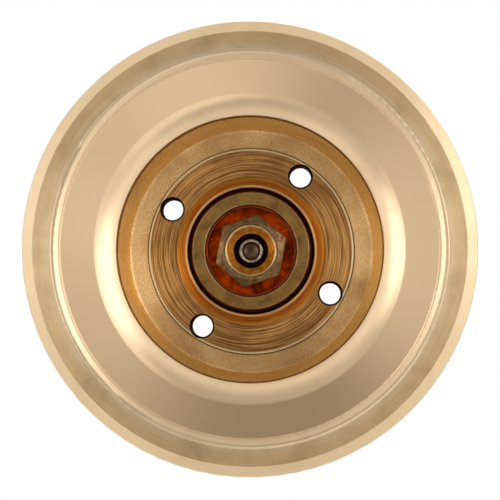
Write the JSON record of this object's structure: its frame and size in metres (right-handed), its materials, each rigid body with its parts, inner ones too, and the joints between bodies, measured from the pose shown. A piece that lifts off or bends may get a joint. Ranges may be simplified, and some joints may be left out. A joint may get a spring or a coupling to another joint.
{
  "type": "recessed pendent fire sprinkler head",
  "caption": "Recessed pendent fire sprinkler head: threaded brass inlet and frame, soldered fusible plug with hex nut, dropping deflector, and a heavy screw-on round escutcheon.",
  "frame": {"origin": "on the centre line at the shoulder where the inlet pipe thread starts", "axes": "+Z along the centre line up into the supply pipe; the pictured face looks along -Z; X and Y are the long and short sides of the rectangle of four wrench holes"},
  "size_m": [0.068, 0.068, 0.0598],
  "materials": {
    "inlet_body": "turned, satin, light tarnish",
    "frame": "turned, concentric tool marks",
    "guide_ring": "turned",
    "guide_ring_circlip": "spring steel, satin",
    "ejector_spring": "stainless spring wire",
    "grip_ring": "smooth moulded",
    "recess_cup": "fine blasted and tarnished inside",
    "deflector": "stamped bronze",
    "guide_pins": "stainless, drawn",
    "valve_cap": "turned",
    "deflector_spacer": "turned",
    "disc_spring": "nickel alloy, polished",
    "sealing_film": "thin film",
    "pressure_plate": "ground",
    "insulating_washer": "moulded",
    "strut_pin": "dark oxidised bronze",
    "compression_nut": "machined, dull, bright edges",
    "pin_lock_ring": "soft grey alloy, cast in place",
    "release_sleeve": "turned, dull",
    "fusible_solder": "low-melting alloy, smooth",
    "heat_collector": "drawn copper cup, heat-darkened",
    "escutcheon": "satin and polished bands",
    "ceiling_gasket": "closed-cell foam rubber"
  },
  "bodies": {
    "fixed": {"inlet_body": "inlet_body", "frame": "frame", "guide_ring": "guide_ring", "guide_ring_circlip": "guide_ring_circlip", "ejector_spring": "ejector_spring", "grip_ring": "grip_ring", "recess_cup": "recess_cup"},
    "deflector_group": {"deflector": "deflector", "guide_pins": "guide_pins", "valve_cap": "valve_cap", "deflector_spacer": "deflector_spacer", "disc_spring": "disc_spring", "sealing_film": "sealing_film"},
    "plug": {"release_sleeve": "release_sleeve", "fusible_solder": "fusible_solder", "heat_collector": "heat_collector", "compression_nut": "compression_nut", "strut_pin": "strut_pin", "pin_lock_ring": "pin_lock_ring", "insulating_washer": "insulating_washer", "pressure_plate": "pressure_plate"},
    "gasket": {"ceiling_gasket": "ceiling_gasket"},
    "escutcheon_ring": {"escutcheon": "escutcheon"}
  },
  "joints": [
    {"name": "plug_drop", "type": "slide", "parent": "fixed", "child": "plug", "axis": [0, 0, -1], "range_m": [0, 0.02]},
    {"name": "deflector_drop", "type": "slide", "parent": "fixed", "child": "deflector_group", "axis": [0, 0, -1], "range_m": [0, 0.0125]},
    {"name": "escutcheon_travel", "type": "slide", "parent": "fixed", "child": "gasket", "axis": [0, 0, -1], "range_m": [0, 0.003]},
    {"name": "escutcheon_turn", "type": "hinge", "parent": "gasket", "child": "escutcheon_ring", "pos_m": [0, 0, -0.04], "axis": [0, 0, -1], "range_deg": [0, 540]}
  ],
  "couplings": [
    {"joint": "deflector_drop", "follows": "plug_drop", "ratio": 0.625},
    {"joint": "escutcheon_travel", "follows": "escutcheon_turn", "m_per_rad": 0.00031831}
  ]
}
